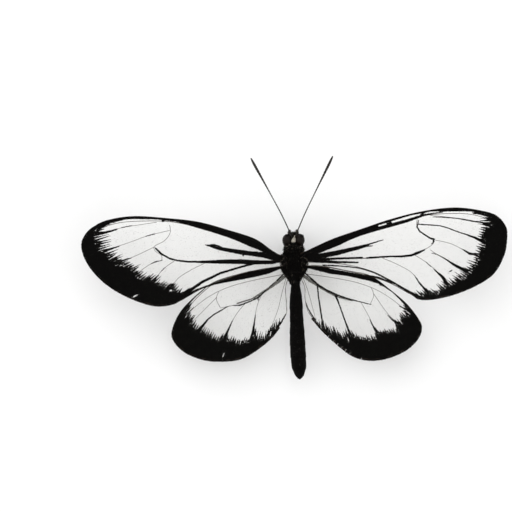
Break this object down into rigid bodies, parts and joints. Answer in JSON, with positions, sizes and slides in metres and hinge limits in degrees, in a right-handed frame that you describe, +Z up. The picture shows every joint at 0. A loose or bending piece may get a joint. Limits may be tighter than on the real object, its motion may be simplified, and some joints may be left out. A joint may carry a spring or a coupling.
{
  "type": "clearwing butterfly",
  "caption": "Butterfly standing with its clear, dark-veined, dark-bordered wings spread flat; slender body, large round eyes, thin clubbed feelers and a coiled tongue.",
  "frame": {"origin": "on the floor, under the middle of the butterfly's box", "axes": "+Z up, +Y towards the head, +X towards the butterfly's right wings"},
  "size_m": [0.0798, 0.042, 0.0121],
  "materials": {
    "black_scales": "velvety black scales and hairs",
    "dark_skin": "smooth dark brown shell",
    "eye_brown": "glossy, finely faceted",
    "clear_wing": "clear glossy membrane with black-scaled veins and borders"
  },
  "bodies": {
    "root": {"thorax": "black_scales", "head": "black_scales", "abdomen": "black_scales", "eye_R": "eye_brown", "eye_L": "eye_brown", "palp_R": "black_scales", "palp_L": "black_scales", "proboscis": "dark_skin", "antenna_R": "dark_skin", "antenna_L": "dark_skin", "foreleg_R": "dark_skin", "foreleg_L": "dark_skin", "midleg_R": "dark_skin", "midleg_L": "dark_skin", "hindleg_R": "dark_skin", "hindleg_L": "dark_skin", "forewing_R": "clear_wing", "forewing_L": "clear_wing", "hindwing_R": "clear_wing", "hindwing_L": "clear_wing"}
  },
  "joints": []
}
